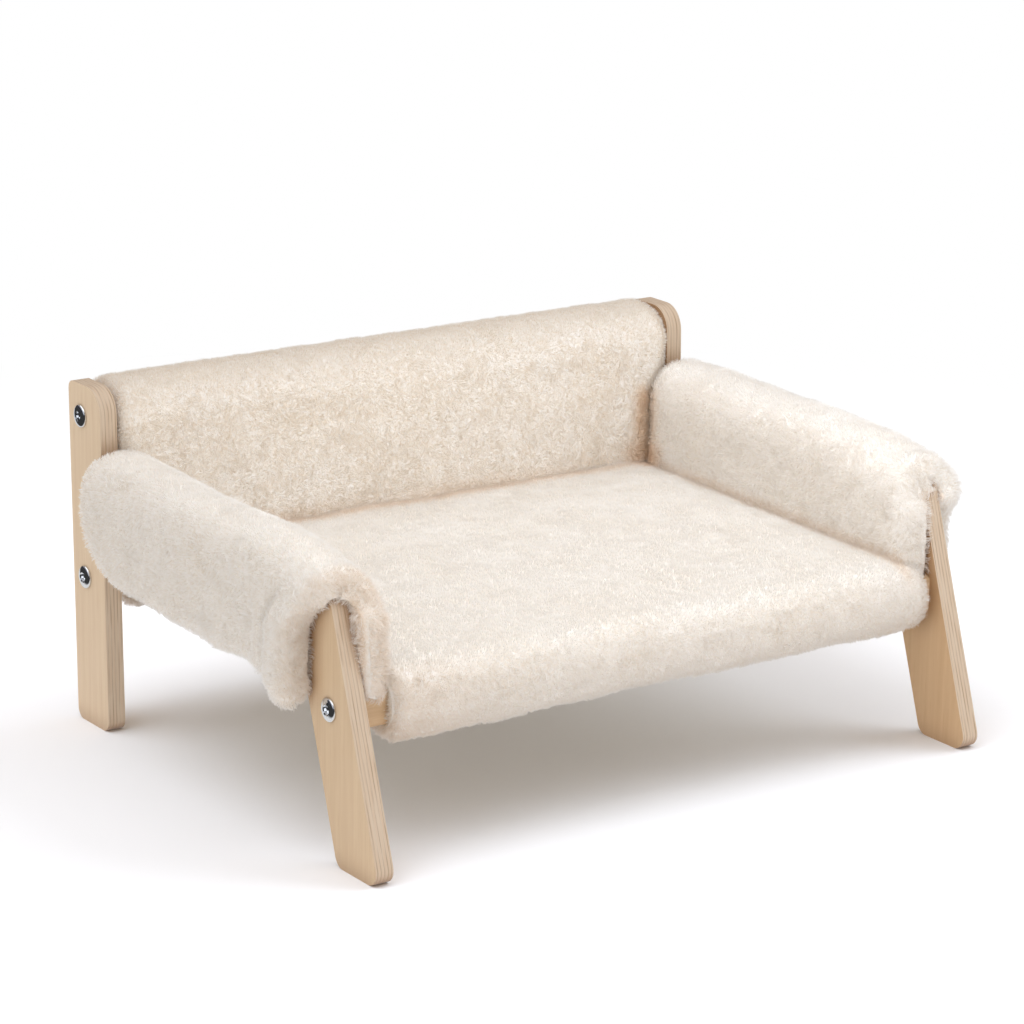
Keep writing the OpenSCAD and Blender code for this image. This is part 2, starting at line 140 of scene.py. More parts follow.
def arc(centre, radius, first, last, count):
    """Points on a circle between two angles in degrees, the last one left out."""
    angles = np.radians(np.linspace(first, last, count, endpoint=False))
    return np.stack([centre[0] + radius * np.cos(angles), centre[1] + radius * np.sin(angles)], -1)


def superellipse(centre, half_width, half_height, count):
    """Upper half of a softly squared ellipse, from its low side to its high side."""
    angles = np.radians(np.linspace(180, 0, count, endpoint=False))
    power = 2 / 2.3
    x = np.sign(np.cos(angles)) * np.abs(np.cos(angles)) ** power
    z = np.abs(np.sin(angles)) ** power
    return np.stack([centre[0] + half_width * x, centre[1] + half_height * z], -1)


def line(first, last, count):
    """Points on a straight line, the last one left out."""
    share = np.linspace(0, 1, count, endpoint=False)[:, None]
    return np.asarray(first) * (1 - share) + np.asarray(last) * share


def distances(path):
    """How far along a path each of its points lies."""
    return np.concatenate([[0], np.cumsum(np.linalg.norm(np.diff(path, axis=0), axis=1))])


def respace(path, closed):
    """The same path with its points a plush step apart."""
    points = np.concatenate([path, path[:1]]) if closed else path
    lengths = distances(points)
    count = int(round(lengths[-1] / PLUSH_STEP))
    wanted = np.linspace(0, lengths[-1], count, endpoint=not closed)
    return np.stack([np.interp(wanted, lengths, points[:, k]) for k in range(2)], -1)


def match(outer_path, inner_path, count):
    """Inner points that lie across from evenly spaced outer points."""
    lengths = distances(outer_path)
    wanted = np.linspace(0, lengths[-1], count)
    index = np.interp(wanted, lengths, np.arange(len(outer_path)))
    return np.stack([np.interp(index, np.arange(len(inner_path)), inner_path[:, k]) for k in range(2)], -1)


def edge_closing(path, first_depth, last_depth):
    """Share of the thickness at each point of an open path, closing in a round at both ends."""
    lengths = distances(path)
    first = np.clip(lengths / first_depth, 0, 1)
    last = np.clip((lengths[-1] - lengths) / last_depth, 0, 1)
    return np.sqrt(1 - (1 - first) ** 2) * np.sqrt(1 - (1 - last) ** 2)


def spread(values, reach):
    """Values averaged over their neighbours."""
    padded = np.pad(values, reach, mode="edge")
    return np.convolve(padded, np.ones(2 * reach + 1) / (2 * reach + 1), mode="valid")


def both_ends(half, rounding):
    """(place, inset) from end to end: a band of the low end's face, its edge, straight, and the same back."""
    band = 12 * MM
    straight = round((half - rounding) / PLUSH_STEP)
    one = [(k * (half - rounding) / straight, 0.0) for k in range(straight)]
    turn = round(rounding * math.pi / 2 / PLUSH_STEP)
    for k in range(turn + 1):
        angle = math.pi / 2 * k / turn
        one.append((half - rounding * (1 - math.sin(angle)), rounding * (1 - math.cos(angle))))
    for k in range(1, int(band / PLUSH_STEP) + 1):
        one.append((half, rounding + k * PLUSH_STEP))
    return [(-place, inset) for place, inset in reversed(one[1:])] + one


def body_rows(profile, core, stations):
    """Rows of section points: each profile point moves towards its core point by the inset."""
    reach = np.linalg.norm(profile - core, axis=1, keepdims=True)
    rows = []
    for place, inset in stations:
        share = np.clip(1 - inset / np.maximum(reach, 1e-9), 0, 1)
        section = core + (profile - core) * share
        rows.append(np.concatenate([np.full((len(section), 1), place), section], axis=1))
    return np.array(rows)


# Meshes

def placed(name, data):
    """A new object of the scene with the given data."""
    item = bpy.data.objects.new(name, data)
    bpy.context.scene.collection.objects.link(item)
    return item


def repair(mesh, merge=0.0, flat_angle=0.0):
    """Merges close vertices and faces in one plane, where asked, and turns all faces outwards."""
    form = bmesh.new()
    form.from_mesh(mesh)
    if merge:
        bmesh.ops.remove_doubles(form, verts=form.verts, dist=merge)
    if flat_angle:
        bmesh.ops.dissolve_limit(form, angle_limit=flat_angle, verts=form.verts, edges=form.edges)
    bmesh.ops.recalc_face_normals(form, faces=form.faces)
    form.to_mesh(mesh)
    form.free()


def grid_normals(points):
    """Outward normals of a grid whose second direction is closed."""
    along = np.gradient(points, axis=0)
    around = (np.roll(points, -1, axis=1) - np.roll(points, 1, axis=1)) / 2
    normals = unit(np.cross(along, around))
    outward = np.sum((points - points.mean(axis=(0, 1))) * normals)
    return normals if outward > 0 else -normals


def tube(index):
    """Quads between the rows of a grid of vertex numbers, closed round each row."""
    after = np.roll(index, -1, axis=1)
    return np.stack([index[:-1], after[:-1], after[1:], index[1:]], axis=-1).reshape(-1, 4).tolist()


def plush_mesh(name, points, material, strip_ends):
    """Object with quads between the rows of a grid, closed round each row and over both ends."""
    rows, cols = points.shape[:2]
    index = np.arange(rows * cols).reshape(rows, cols)
    faces = tube(index)
    mesh = bpy.data.meshes.new(name)
    if strip_ends:
        for row in (index[0], index[-1]):
            pairs = np.stack([row[:cols // 2], row[cols // 2:][::-1]], axis=1)
            faces += np.concatenate([pairs[:-1], pairs[1:, ::-1]], axis=1).tolist()
    else:
        faces += [index[0, ::-1].tolist(), index[-1].tolist()]
    mesh.from_pydata(points.reshape(-1, 3).tolist(), [], faces)
    mesh.validate()
    repair(mesh, merge=0.05 * MM)
    mesh.shade_smooth()
    mesh.materials.append(material)
    return placed(name, mesh)


# Materials

def new_material(name):
    """A node material, its node tree and its Principled shader."""
    material = bpy.data.materials.new(name)
    material.use_nodes = True
    tree = material.node_tree
    return material, tree, tree.nodes["Principled BSDF"]


def feed(value, socket):
    """Gives a socket another socket, a colour, a vector or a number."""
    if isinstance(value, bpy.types.NodeSocket):
        socket.id_data.links.new(value, socket)
    elif socket.type == "RGBA":
        socket.default_value = (*value, 1)
    else:
        socket.default_value = value


def set_inputs(node, **inputs):
    """Feeds some of a node's inputs."""
    for key, value in inputs.items():
        feed(value, node.inputs[key.replace("_", " ")])


def add(tree, kind, **inputs):
    """A new node with some of its inputs fed."""
    node = tree.nodes.new(kind)
    set_inputs(node, **inputs)
    return node


def ramp(tree, source, stops):
    """A colour ramp fed by source, with (place, colour) stops, where a number stands for a grey."""
    node = add(tree, "ShaderNodeValToRGB", Fac=source)
    elements = node.color_ramp.elements
    while len(elements) < len(stops):
        elements.new(0.5)
    for element, (place, colour) in zip(elements, stops):
        element.position = place
        element.color = (*colour, 1) if isinstance(colour, tuple) else (colour, colour, colour, 1)
    return node.outputs["Color"]


def object_space(tree, scale):
    """Object coordinates, scaled by three factors."""
    where = tree.nodes.new("ShaderNodeTexCoord")
    return add(tree, "ShaderNodeMapping", Vector=where.outputs["Object"], Scale=scale).outputs["Vector"]


def noise_node(tree, vector, scale=1.0, detail=2.0, roughness=0.5):
    """Noise texture on a vector."""
    node = add(tree, "ShaderNodeTexNoise", Vector=vector, Scale=scale, Detail=detail, Roughness=roughness)
    return node.outputs["Fac"]


def split(tree, vector):
    """Outputs X, Y and Z of a vector."""
    return add(tree, "ShaderNodeSeparateXYZ", Vector=vector).outputs


def mixed(tree, factor, first, second, blend="MIX"):
    """Mix of two colours, where each is a socket or a colour."""
    node = tree.nodes.new("ShaderNodeMix")
    node.data_type = "RGBA"
    node.blend_type = blend
    # The factor and the two colours among the node's inputs for all kinds of data
    for value, place in ((factor, 0), (first, 6), (second, 7)):
        feed(value, node.inputs[place])
    return node.outputs[2]


def math_node(tree, operation, *values):
    """A math node on sockets or numbers."""
    node = tree.nodes.new("ShaderNodeMath")
    node.operation = operation
    for value, socket in zip(values, node.inputs):
        feed(value, socket)
    return node.outputs[0]


def mixed_shader(tree, factor, first, second):
    """Mix of two shaders by a socket or a number."""
    node = add(tree, "ShaderNodeMixShader", Fac=factor)
    feed(first, node.inputs[1])
    feed(second, node.inputs[2])
    return node.outputs["Shader"]


def bump(tree, shader, height, strength, distance):
    """Bump from a height socket."""
    node = add(tree, "ShaderNodeBump", Height=height, Strength=strength, Distance=distance)
    set_inputs(shader, Normal=node.outputs["Normal"])


def plywood_face(tree, grain):
    """Rotary-cut birch: upright grain with paler clouds and dark flecks."""
    face_light = (0.81, 0.625, 0.42)
    face_dark = (0.67, 0.46, 0.27)
    clouds = noise_node(tree, object_space(tree, (6, 14, 3)))
    flecks = noise_node(tree, object_space(tree, (300, 900, 40)))
    face = ramp(tree, grain, [(0.3, face_dark), (0.62, face_light)])
    face = mixed(tree, clouds, face, (0.86, 0.69, 0.495))
    return mixed(tree, ramp(tree, flecks, [(0.58, 0), (0.75, 0.35)]), face, face_dark)


def plywood():
    """Birch plywood: fine upright grain on the faces, alternating plies on the edges."""
    material, tree, shader = new_material("birch_plywood")
    ply_light = (0.71, 0.545, 0.385)
    ply_dark = (0.46, 0.31, 0.19)
    streak = (0.75, 0.615, 0.47)
    # Painted shade: multipliers for the inner faces and the legs, and the warm shade colour near the plush
    inner_face_shade = (0.93, 0.82, 0.70)
    leg_shade = (0.90, 0.865, 0.80)
    shade = (0.36, 0.20, 0.10)
    ply_thickness = 3.0 * MM
    waviness = 1.6 * MM
    leg_from_y = 0.0
    leg_full_y = -100 * MM
    shade_reach = 26 * MM

    grain = noise_node(tree, object_space(tree, (60, 190, 5)), 1.0, 6.0, 0.6)
    face = plywood_face(tree, grain)

    # The plies lie parallel to the faces, so their place in the stack comes from X
    where = tree.nodes.new("ShaderNodeTexCoord")
    apart = split(tree, where.outputs["Object"])
    depth = math_node(tree, "SUBTRACT", math_node(tree, "ABSOLUTE", apart["X"]), PANEL_IN)
    wobble = noise_node(tree, object_space(tree, (0, 12, 12)))
    depth = math_node(tree, "MULTIPLY_ADD", wobble, waviness, depth)
    plies = math_node(tree, "FRACT", math_node(tree, "DIVIDE", depth, ply_thickness))
    bands = ramp(tree, plies, [
        (0.0, ply_light), (0.46, ply_light), (0.60, ply_dark), (0.78, ply_dark), (0.94, ply_light),
    ])
    end_grain = noise_node(tree, object_space(tree, (1100, 60, 28)), 1.0, 3.0, 0.6)
    streaks = ramp(tree, end_grain, [(0.36, 0.05), (0.60, 0.9)])
    edge = mixed(tree, streaks, bands, streak)

    # Faces look along X. The inner ones and the legs get painted shade, a deeper tone
    geometry = tree.nodes.new("ShaderNodeNewGeometry")
    turned = split(tree, geometry.outputs["Normal"])
    on_face = math_node(tree, "GREATER_THAN", math_node(tree, "ABSOLUTE", turned["X"]), 0.8)
    inward = math_node(tree, "LESS_THAN", math_node(tree, "MULTIPLY", turned["X"], apart["X"]), 0.0)
    face = mixed(tree, inward, face, mixed(tree, 1.0, face, inner_face_shade, "MULTIPLY"))
    toward_leg = add(tree, "ShaderNodeMapRange", Value=apart["Y"], From_Min=leg_from_y, From_Max=leg_full_y)
    deeper = mixed(tree, toward_leg.outputs["Result"], (1, 1, 1), leg_shade)
    face = mixed(tree, 1.0, face, deeper, "MULTIPLY")
    colour = mixed(tree, on_face, edge, face)

    # Warm shade close to the plush
    nearby = add(tree, "ShaderNodeAmbientOcclusion", Distance=shade_reach)
    nearby.samples = 6
    hidden = ramp(tree, nearby.outputs["AO"], [(0.15, 0.9), (0.8, 0)])
    colour = mixed(tree, hidden, colour, shade)
    rough = math_node(tree, "MULTIPLY_ADD", grain, 0.2, 0.42)
    set_inputs(shader, Base_Color=colour, Roughness=rough, Coat_Weight=0.12, Coat_Roughness=0.35)
    bump(tree, shader, math_node(tree, "ADD", grain, plies), 0.12, 0.4 * MM)
    return material


def solid_birch():
    """Planed solid birch with its grain along X."""
    material, tree, shader = new_material("birch_rail")
    grain = noise_node(tree, object_space(tree, (6, 160, 160)), 1.0, 6.0, 0.6)
    pores = noise_node(tree, object_space(tree, (60, 900, 900)))
    colour = ramp(tree, grain, [(0.3, (0.60, 0.40, 0.22)), (0.65, (0.74, 0.54, 0.33))])
    colour = mixed(tree, ramp(tree, pores, [(0.55, 0), (0.75, 0.4)]), colour, (0.48, 0.31, 0.17))
    set_inputs(shader, Base_Color=colour, Roughness=0.55)
    bump(tree, shader, grain, 0.15, 0.4 * MM)
    return material


def metal(name, colour, roughness, brushed):
    """Plated metal with faint polishing marks."""
    material, tree, shader = new_material(name)
    marks = noise_node(tree, object_space(tree, (200, 900, 900)), 1.0, 4.0, 0.6)
    tint = ramp(tree, marks, [(0.3, tuple(0.88 * c for c in colour)), (0.7, colour)])
    rough = math_node(tree, "MULTIPLY_ADD", marks, brushed, roughness)
    set_inputs(shader, Base_Color=tint, Roughness=rough, Metallic=1.0)
    bump(tree, shader, marks, 0.08, 0.1 * MM)
    return material


def cloth(name, light, dark, threads):
    """Plain woven cloth: two crossing sets of threads, so many to the metre."""
    material, tree, shader = new_material(name)
    sets = []
    for turn in ((threads, 0, 0), (0, threads, threads)):
        stretched = object_space(tree, turn)
        wave = add(tree, "ShaderNodeTexWave", Vector=stretched, Scale=1.0, Distortion=0.6, Detail=1.0)
        wave.bands_direction = "DIAGONAL"
        sets.append(wave.outputs["Fac"])
    weave = math_node(tree, "MULTIPLY", *sets)
    slubs = noise_node(tree, object_space(tree, (90, 90, 90)), 1.0, 4.0, 0.6)
    uneven = math_node(tree, "MULTIPLY_ADD", slubs, 0.5, weave)
    colour = ramp(tree, uneven, [(0.1, dark), (0.8, light)])
    set_inputs(shader, Base_Color=colour, Roughness=0.9, Sheen_Weight=0.2)
    bump(tree, shader, weave, 0.35, 0.4 * MM)
    return material


def mix_painted_shade(tree, colour, share):
    """A colour turned towards tan where the stored crease value is high: painted shade in the folds, beside
    the wood and on faces in shade.
    """
    value = tree.nodes.new("ShaderNodeAttribute")
    value.attribute_name = "crease"
    amount = math_node(tree, "MULTIPLY", value.outputs["Fac"], share)
    return mixed(tree, amount, colour, (0.77, 0.56, 0.36))


def plush_backing():
    """Dense pile seen as a surface: small curled tufts, lighter at their tips, with painted shade in the
    partings between them.
    """
    material, tree, shader = new_material("plush")
    bend = 10 * MM
    plain = object_space(tree, (1, 1, 1))
    bent = add(tree, "ShaderNodeTexNoise", Vector=plain, Scale=120.0, Detail=2.0)
    shift = tree.nodes.new("ShaderNodeVectorMath")
    shift.operation = "MULTIPLY_ADD"
    for value, socket in zip((bent.outputs["Color"], (bend, bend, bend), plain), shift.inputs):
        feed(value, socket)
    curls = noise_node(tree, shift.outputs["Vector"], 420.0, 3.0, 0.6)
    patches = noise_node(tree, object_space(tree, (14, 14, 14)))
    # Painted shade: the partings between the curls are darker and warmer than the tips
    tips = ramp(tree, curls, [(0.35, (0.87, 0.79, 0.68)), (0.62, (0.95, 0.92, 0.87))])
    colour = mixed(tree, ramp(tree, patches, [(0.35, 0), (0.7, 0.5)]), tips, (0.96, 0.945, 0.915))
    # Painted shade in the folds and beside the wood, from the stored crease values
    set_inputs(shader, Base_Color=mix_painted_shade(tree, colour, 0.9), Roughness=0.95)
    set_inputs(shader, Specular_IOR_Level=0.1, Sheen_Weight=0.5, Sheen_Roughness=0.6)
    bump(tree, shader, curls, 0.8, 1.8 * MM)
    return material


def plush_strands(name, root, tip):
    """Single fibres of the pile: matt, letting some light through, lighter towards the tip. Their darker,
    warmer roots are painted shade from deep in the pile.
    """
    material, tree, _ = new_material(name)
    tree.nodes.clear()
    info = tree.nodes.new("ShaderNodeHairInfo")
    # Painted shade: the root end is darker and warmer than the tip
    along = ramp(tree, info.outputs["Intercept"], [(0.0, root), (0.75, tip)])
    pale = tuple(min(1.0, 1.012 * c) for c in tip)
    paler = ramp(tree, info.outputs["Random"], [(0.0, 0), (1.0, 0.6)])
    # Painted shade in the folds, beside the wood and on faces in shade, from the stored crease values
    colour = mix_painted_shade(tree, mixed(tree, paler, along, pale), 0.75)
    matt = add(tree, "ShaderNodeBsdfDiffuse", Color=colour)
    through = add(tree, "ShaderNodeBsdfTranslucent", Color=colour)
    both = mixed_shader(tree, 0.55, matt.outputs["BSDF"], through.outputs["BSDF"])
    add(tree, "ShaderNodeOutputMaterial", Surface=both)
    return material


MATERIALS = {
    "birch_plywood": plywood(),
    "birch_rail": solid_birch(),
    "chrome": metal("chrome", (0.86, 0.87, 0.89), 0.07, 0.05),
    "steel": metal("steel", (0.58, 0.58, 0.56), 0.3, 0.15),
    "plush": plush_backing(),
    "wadding": cloth("wadding", (0.93, 0.92, 0.89), (0.84, 0.83, 0.79), 300),
    "canvas": cloth("canvas", (0.86, 0.81, 0.70), (0.60, 0.54, 0.42), 900),
    "lining": cloth("lining", (0.90, 0.86, 0.78), (0.74, 0.69, 0.60), 600),
    "hook_tape": cloth("hook_tape", (0.92, 0.90, 0.85), (0.78, 0.75, 0.70), 1500),
}
# One plush in three colourings, as painted shade: the seat's tips are darker than the arms', where most light
# falls, and the back's roots darker and warmer, on its shaded front face
PILES = {
    "seat": plush_strands("seat_fibres", (0.88, 0.82, 0.74), (0.94, 0.93, 0.91)),
    "back": plush_strands("back_fibres", (0.87, 0.76, 0.62), (0.96, 0.94, 0.90)),
    "left_arm": plush_strands("arm_fibres", (0.88, 0.82, 0.74), (0.97, 0.965, 0.95)),
}
PILES["right_arm"] = PILES["left_arm"]


def dress_frame():
    """Each CAD node gets the material of its slot in the record."""
    slots = {part["node"]: part["material_slot"] for part in frame["record"]["subparts"]}
    for name, node in frame["nodes"].items():
        node.data.materials.clear()
        node.data.materials.append(MATERIALS[slots[name]])


# Painted shade: where the pile is coloured warmer

def run_back(y):
    """0 over the front seat rail and 1 over the rear one."""
    return (y - FRONT_AXIS[0]) / (REAR_AXIS[0] - FRONT_AXIS[0])


def seat_side_height(y):
    """Height of the seat's backing beside an arm."""
    run = run_back(y)
    radius = ROLL - PILE_DEPTH
    level = FRONT_AXIS[1] + run * (REAR_AXIS[1] - FRONT_AXIS[1]) + radius
    least = 6 * MM
    height = np.sqrt(np.maximum(radius ** 2 - (y - FRONT_AXIS[0]) ** 2, least ** 2))
    return np.where(run > 0, level, FRONT_AXIS[1] + height)


def crease(points):
    """How much painted shade the pile gets in the folds: 1 in the folds between the seat, the back and the
    arms, and 0 away from them.
    """
    x = np.abs(points[..., 0])
    y = points[..., 1]
    z = points[..., 2]
    arm_face = arm_low.x + 1 * MM
    back_face = back_low.y - 1 * MM
    seam = seat_side_height(y) + 2 * MM
    seat_top = seat_side_height(REAR_AXIS[0]) + 3 * MM
    beside_back = smooth(arm_face + 8 * MM, arm_face, x)
    under_arm_top = smooth(224 * MM, 206 * MM, z) * smooth(seat_top - 8 * MM, seat_top, z)
    behind_front = smooth(-200 * MM, -185 * MM, y)
    to_back = np.hypot(y - back_face, z - seat_top) / (8 * MM)
    to_arm = np.hypot(x - arm_face, z - seam) / (6 * MM)
    to_upright = np.hypot((x - arm_face) / (9 * MM), (y - back_face - 4 * MM) / (12 * MM))
    above_seat = z - seat_top - 4 * MM
    to_corner = np.sqrt((x - arm_face) ** 2 + (y - back_face) ** 2 + above_seat ** 2) / (17 * MM)
    tint = 0.5 * bell(to_back) * beside_back
    tint = np.maximum(tint, 0.4 * bell(to_arm) * behind_front)
    tint = np.maximum(tint, 0.9 * bell(to_upright) * under_arm_top)
    return np.maximum(tint, bell(to_corner))


def beside_wood(points):
    """1 where a plush surface nearly touches a side panel, and 0 away from the panels: the place of painted
    contact shade.
    """
    x = np.abs(points[..., 0])
    gap = np.maximum(PANEL_IN - x, x - PANEL_OUT)
    on_post = points[..., 1] > REAR_AXIS[0] - 10 * MM
    below_top = smooth(206 * MM, 194 * MM, points[..., 2])
    return smooth(6 * MM, 1.5 * MM, gap) * np.where(on_post, 1, below_top)


def painted_pile_shade(roots, up, flat_top):
    """How much painted shade warms each fibre: in the folds, near the wood, on upright faces, and at the
    front's left, which lies in shade.
    """
    # Painted shade on upright faces and on the front's left end
    upright = 0.09 * (1 - flat_top) * (np.abs(roots[:, 0]) < PANEL_OUT)
    at_left = smooth(-130 * MM, -240 * MM, roots[:, 0])
    at_front = smooth(-110 * MM, -150 * MM, roots[:, 1]) * smooth(0.1, 0.7, -up[:, 1])
    warm = upright + 0.22 * at_left * at_front
    return np.maximum(crease(roots), np.maximum(warm, 0.15 * beside_wood(roots)))


def store_painted_shade(data, values):
    """Stores the amounts of painted shade that the plush materials read, one for each point."""
    tint = data.attributes.new("crease", "FLOAT", "POINT")
    tint.data.foreach_set("value", values.astype(np.float32))


# Pile

# Places along a fibre from its root to its tip, and its radius at each
FIBRE_STEPS = np.linspace(0, 1, 4)
FIBRE_RADII = [0.13 * MM, 0.13 * MM, 0.10 * MM, 0.04 * MM]


def worms(points):
    """Curling ridges of tufts, from 0 in the partings to 1 on the ridges."""
    bent = points + 2.6 * MM * vector_noise(points, 9 * MM)
    return 1 - np.clip(2.4 * np.abs(noise(bent, 4.6 * MM)), 0, 1)


def tangent(vectors, up):
    """What is left of vectors along the surface."""
    return vectors - up * np.sum(vectors * up, axis=1, keepdims=True)


def scattered(points, weights, rng):
    """Random places on a grid, as a function that gives the values of another grid there."""
    after = np.roll(points, -1, axis=1)
    first = points[1:] - points[:-1]
    second = after[:-1] - points[:-1]
    area = np.linalg.norm(np.cross(first, second), axis=-1) / MM ** 2
    counts = rng.poisson(area * FIBRES_PER_MM2 * weights[:-1])
    row, col = np.nonzero(counts)
    repeats = counts[row, col]
    row = np.repeat(row, repeats)
    col = np.repeat(col, repeats)
    u, v = rng.random((2, len(row)))[..., None]
    beyond = (col + 1) % points.shape[1]

    def across(grid):
        low = grid[row, col] * (1 - v) + grid[row, beyond] * v
        high = grid[row + 1, col] * (1 - v) + grid[row + 1, beyond] * v
        return low * (1 - u) + high * u

    return across


def clumping(roots, up, ridge, longer):
    """How far the tips move towards the ridges of the tufts."""
    near = 0.8 * MM
    slopes = [worms(roots + near * np.eye(3)[axis]) - ridge for axis in range(3)]
    slope = tangent(np.stack(slopes, axis=1) / near, up)
    steep = np.linalg.norm(slope, axis=1, keepdims=True)
    return slope / np.maximum(steep, 1e-9) * np.minimum(steep * 2.2 * MM ** 2, 1.5 * MM) * longer


def pile(name, fibres, points, normals, weights, shag, seed):
    """Short curling fibres on a grid whose second direction is closed, longer where shag is higher."""
    rng = np.random.default_rng(seed)
    across = scattered(points, weights, rng)
    roots = across(points)
    up = unit(across(normals))
    longer = across(shag[..., None])
    flat_top = smooth(0.55, 0.95, up[:, 2:])
    ridge = worms(roots)

    # Fibres on top of the cushions are pressed flatter and less clumped
    swirl = 1.1 * vector_noise(roots, 16 * MM) + 0.7 * vector_noise(roots, 6 * MM) + [0, 0, -0.1]
    swirl = tangent(swirl, up)
    pull = clumping(roots, up, ridge, longer) * (1 - 0.8 * flat_top)
    relief = 0.30 * (1 - 0.85 * flat_top) * (ridge[:, None] - 0.6)
    length = PILE_LENGTH * longer * (0.82 + 0.24 * rng.random((len(roots), 1)) + relief)
    lean = (0.9 * swirl + 0.14 * rng.normal(size=roots.shape)) * (1 - 0.4 * flat_top)
    strands = np.stack([
        roots + length * (up * (t - 0.28 * t * t) + lean * 0.62 * t * t) + pull * t
        for t in FIBRE_STEPS
    ], axis=1)

    curves = bpy.data.hair_curves.new(name)
    curves.add_curves([len(FIBRE_STEPS)] * len(roots))
    curves.points.foreach_set("position", strands.astype(np.float32).ravel())
    curves.points.foreach_set("radius", np.tile(FIBRE_RADII, len(roots)).astype(np.float32))
    # Painted shade for each fibre, the same at all its points
    store_painted_shade(curves, np.repeat(painted_pile_shade(roots, up, flat_top[:, 0]), len(FIBRE_STEPS)))
    curves.materials.append(fibres)
    coat = placed(name, curves)
    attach(coat, "root")


def tufted(points, normals, weights):
    """Points moved by the small tufts of the pile."""
    height = 0.7 * noise(points, 4.5 * MM) + 0.5 * noise(points, 9 * MM, 1)
    return points + normals * (height * weights)[..., None] * 0.9 * MM


def finish_plush(name, points, covers, weights, shag, seed, strip_ends=False):
    """Turns a grid into a plush piece with its pile, in place of some CAD nodes."""
    normals = grid_normals(points)
    points = tufted(points, normals, weights)
    piece = plush_mesh(name, points, MATERIALS["plush"], strip_ends)
    corners = np.empty(len(piece.data.vertices) * 3)
    piece.data.vertices.foreach_get("co", corners)
    corners = corners.reshape(-1, 3)
    # Painted shade on the backing, in the folds and next to the panels
    store_painted_shade(piece.data, np.maximum(crease(corners), 0.6 * beside_wood(corners)))
    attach(piece, "root")
    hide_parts(*covers)
    pile(name + "_pile", PILES[name], points, normals, weights, shag, seed)


# Seat

def seat():
    """Seat cushion with a roll round each seat rail, flush on top and recessed below."""
    radius = ROLL - PILE_DEPTH
    under = 16.5 * MM
    longer_right = 9 * MM
    shorter_left = 8 * MM
    crown = 3.0 * MM
    sunk = 3.5 * MM
    droop = 2.5 * MM
    sink = math.degrees(math.asin(under / radius))
    recess = radius * math.cos(math.radians(sink))
    profile = np.concatenate([
        line(REAR_AXIS + (-recess, -under), FRONT_AXIS + (recess, -under), 60),
        arc(FRONT_AXIS, radius, 360 - sink, 90, 60),
        line(FRONT_AXIS + (0, radius), REAR_AXIS + (0, radius), 60),
        arc(REAR_AXIS, radius, 90, sink - 180, 60),
    ])
    profile = respace(profile, closed=True)
    along = np.clip(run_back(profile[:, 0]), 0, 1)
    core = FRONT_AXIS + along[:, None] * (REAR_AXIS - FRONT_AXIS)
    half = seat_high.x + 1 * MM
    rows = body_rows(profile, core, both_ends(half, 12 * MM))
    points = rows.copy()

    # Crown and lumps on top, and a dip beside the right arm
    inside = smooth(0.02, 0.2, np.clip(1 - np.abs(points[..., 0]) / half, 0, 1))
    on_top = smooth(0, 20 * MM, points[..., 2] - core[None, :, 1])
    run = np.clip(run_back(points[..., 1]), 0, 1)
    swell = crown * np.sin(np.pi * run) * inside
    lumps = (1.5 * noise(points, 70 * MM) + 1.0 * noise(points, 34 * MM, 2)) * MM
    dip = sunk * smooth(40 * MM, 5 * MM, half - points[..., 0]) * smooth(0, 0.2, run)
    points[..., 2] += on_top * (swell + lumps * inside - dip)

    # Uneven front roll, drooping below towards its left end
    front = smooth(0, 12 * MM, FRONT_AXIS[0] - points[..., 1])
    points[..., 1] += front * 1.6 * MM * noise(points, 45 * MM, 1)
    points[..., 2] += front * (1 - on_top) * 1.8 * MM * noise(points, 38 * MM, 2)
    points[..., 2] -= front * (1 - on_top) * droop * smooth(120 * MM, -240 * MM, points[..., 0])

    # Both ends grow, the left one only towards the front
    end = half - 80 * MM
    points[..., 0] += longer_right * smooth(end, half, points[..., 0])
    points[..., 0] += shorter_left * smooth(end, half, -points[..., 0]) * smooth(0.7, 0.2, run)

    # The recessed underside between the rolls is lining, without pile
    recessed = points[..., 2] < core[None, :, 1] - under + 0.5 * MM
    weights = np.where(recessed & (run > 0.06) & (run < 0.94), 0.0, 1.0)
    shag = 0.90 + 0.45 * smooth(16 * MM, 4 * MM, half - np.abs(rows[..., 0]))
    finish_plush("seat", points, ["seat_cover"], weights, shag, 11)


# Back

